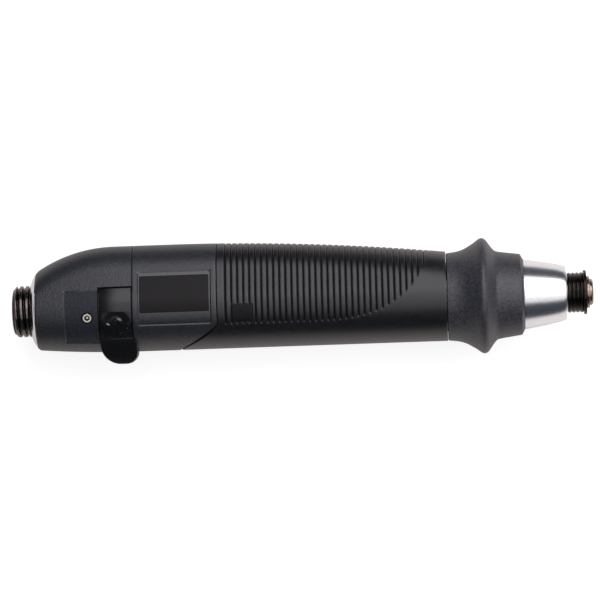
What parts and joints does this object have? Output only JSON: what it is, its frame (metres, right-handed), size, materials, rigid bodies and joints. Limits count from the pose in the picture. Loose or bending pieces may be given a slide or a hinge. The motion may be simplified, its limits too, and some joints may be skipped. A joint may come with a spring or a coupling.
{
  "type": "pneumatic screwdriver",
  "caption": "Inline pneumatic screwdriver with a threaded air inlet, reverse lever, palm-swell ribbed grip, flanged guard, planetary drive, adjustable clutch and quick-change bit chuck.",
  "frame": {"origin": "centre of the air inlet's end face, on the tool axis", "axes": "+X along the tool towards the bit, +Y towards the palm swell, +Z towards the side with the label recess, so the tool lies on its far side"},
  "size_m": [0.248, 0.0513, 0.0492],
  "materials": {
    "black_oxide_steel": "black oxide, machined",
    "polished_steel": "polished",
    "satin_aluminium": "satin turned",
    "steel": "ground",
    "hardened_steel": "hardened and ground",
    "spindle_steel": "tempered, straw to brown",
    "charcoal_nylon": "fine moulded texture",
    "black_acetal": "smooth moulded",
    "grip_rubber": "ribbed over-moulding",
    "guard_nylon": "eroded moulded texture",
    "bronze": "sintered",
    "seal_rubber": "smooth",
    "vane_laminate": "phenolic laminate",
    "felt": "pressed felt"
  },
  "bodies": {
    "housing": {"inlet_bushing": "black_oxide_steel", "inlet_screen": "bronze", "end_collar": "polished_steel", "collar_o_ring": "seal_rubber", "valve_seat": "bronze", "valve_spring": "steel", "rear_cap": "charcoal_nylon", "cap_screw": "polished_steel", "exhaust_silencer": "felt", "detent_ball": "polished_steel", "detent_spring": "steel", "handle_body": "charcoal_nylon", "grip": "grip_rubber", "rear_end_plate": "hardened_steel", "rear_bearing": "steel", "motor_cylinder": "hardened_steel", "alignment_pin": "steel", "front_end_plate": "hardened_steel", "front_bearing": "steel", "ring_gear": "hardened_steel", "carrier_bearing": "steel", "shaft_bearing": "steel", "clutch_housing": "satin_aluminium", "guard_o_ring": "seal_rubber", "spindle_bush": "bronze"},
    "throttle": {"push_rod": "steel", "throttle_valve": "seal_rubber"},
    "lever": {"reverse_lever": "black_acetal", "lever_pin": "steel", "reverse_valve": "bronze"},
    "rotor": {"rotor": "hardened_steel", "vanes": "vane_laminate"},
    "output": {"planet_carrier": "hardened_steel", "planet_pins": "steel", "clutch_driver": "hardened_steel", "clutch_balls": "polished_steel", "clutch_shaft": "hardened_steel", "clutch_spring": "steel"},
    "planet_1": {"planet_gear_1": "hardened_steel"},
    "planet_2": {"planet_gear_2": "hardened_steel"},
    "planet_3": {"planet_gear_3": "hardened_steel"},
    "cam": {"clutch_cam": "hardened_steel"},
    "seat": {"spring_seat": "steel"},
    "nut": {"adjusting_nut": "bronze"},
    "spindle": {"spindle": "spindle_steel", "chuck_ball": "polished_steel", "chuck_spring": "steel", "retaining_ring": "spindle_steel"},
    "sleeve": {"chuck_sleeve": "black_oxide_steel"},
    "guard": {"guard": "guard_nylon"}
  },
  "joints": [
    {"name": "lever_turn", "type": "hinge", "parent": "housing", "child": "lever", "pos_m": [0.045, 0, 0], "axis": [1, 0, 0], "range_deg": [0, 30]},
    {"name": "guard_turn", "type": "hinge", "parent": "housing", "child": "guard", "pos_m": [0.202, 0, 0], "axis": [1, 0, 0], "range_deg": [0, 90]},
    {"name": "rotor_spin", "type": "hinge", "parent": "housing", "child": "rotor", "pos_m": [0.086, 0, 0], "axis": [1, 0, 0], "continuous": true},
    {"name": "carrier_spin", "type": "hinge", "parent": "housing", "child": "output", "pos_m": [0.1391, 0, 0], "axis": [1, 0, 0], "continuous": true},
    {"name": "planet_spin_1", "type": "hinge", "parent": "output", "child": "planet_1", "pos_m": [0.1286, 0.0078, 0], "axis": [1, 0, 0], "continuous": true},
    {"name": "planet_spin_2", "type": "hinge", "parent": "output", "child": "planet_2", "pos_m": [0.1286, -0.0039, 0.00675], "axis": [1, 0, 0], "continuous": true},
    {"name": "planet_spin_3", "type": "hinge", "parent": "output", "child": "planet_3", "pos_m": [0.1286, -0.0039, -0.00675], "axis": [1, 0, 0], "continuous": true},
    {"name": "spindle_push", "type": "slide", "parent": "output", "child": "spindle", "axis": [1, 0, 0], "range_m": [-0.002, 0], "stiffness_N_per_m": 2500},
    {"name": "throttle_slide", "type": "slide", "parent": "housing", "child": "throttle", "axis": [1, 0, 0], "range_m": [-0.002, 0], "deforming": ["valve_spring"]},
    {"name": "sleeve_slide", "type": "slide", "parent": "spindle", "child": "sleeve", "axis": [1, 0, 0], "range_m": [0, 0.0022], "stiffness_N_per_m": 1000, "deforming": ["chuck_spring"]},
    {"name": "clutch_release", "type": "slide", "parent": "output", "child": "cam", "axis": [1, 0, 0], "range_m": [0, 0.0012], "stiffness_N_per_m": 5000, "deforming": ["clutch_spring"]},
    {"name": "seat_slide", "type": "slide", "parent": "output", "child": "seat", "axis": [1, 0, 0], "range_m": [-0.003, 0], "deforming": ["clutch_spring"]},
    {"name": "nut_turn", "type": "hinge", "parent": "seat", "child": "nut", "pos_m": [0.1941, 0, 0], "axis": [1, 0, 0], "range_deg": [0, 1080]}
  ],
  "couplings": [
    {"joint": "carrier_spin", "follows": "rotor_spin", "ratio": 0.25},
    {"joint": "planet_spin_1", "follows": "rotor_spin", "ratio": -0.75},
    {"joint": "planet_spin_2", "follows": "rotor_spin", "ratio": -0.75},
    {"joint": "planet_spin_3", "follows": "rotor_spin", "ratio": -0.75},
    {"joint": "throttle_slide", "follows": "spindle_push", "ratio": 1},
    {"joint": "nut_turn", "follows": "seat_slide", "rad_per_m": -6283.2}
  ]
}
